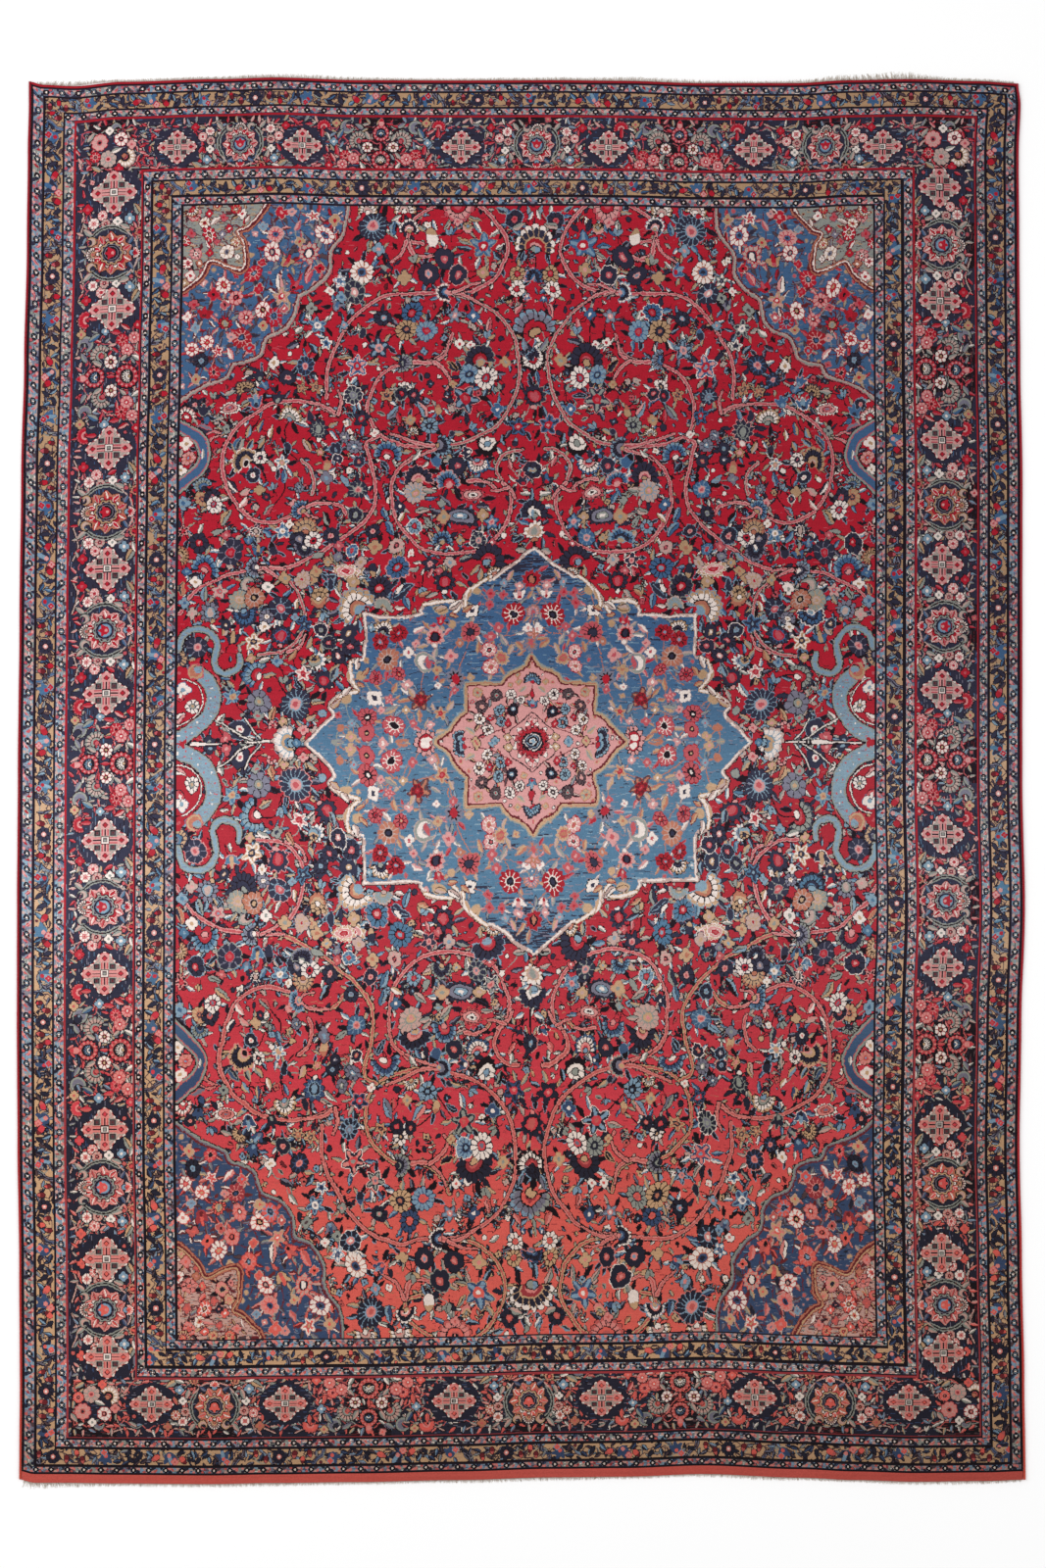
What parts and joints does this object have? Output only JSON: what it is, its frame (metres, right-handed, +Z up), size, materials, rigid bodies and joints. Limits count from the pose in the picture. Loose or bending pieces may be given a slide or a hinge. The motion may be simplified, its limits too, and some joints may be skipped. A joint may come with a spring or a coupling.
{
  "type": "hand-knotted oriental rug",
  "caption": "Large rectangular knotted-pile wool rug with a central medallion, quarter-medallion corners and floral borders, overcast side cords and short worn fringes; lies flat.",
  "frame": {"origin": "centre of the underside, where the rug rests on the floor", "axes": "+X to the right across the width, +Y along the length towards the head end, +Z up out of the pile"},
  "size_m": [3.022, 4.2543, 0.008],
  "materials": {
    "pile_wool": "matte clipped wool pile",
    "cord_wool": "matte overcast wool",
    "fringe_cotton": "matte undyed cotton"
  },
  "bodies": {
    "root": {"rug_pile": "pile_wool", "side_cord_left": "cord_wool", "side_cord_right": "cord_wool", "fringe_top": "fringe_cotton", "fringe_bottom": "fringe_cotton"}
  },
  "joints": []
}
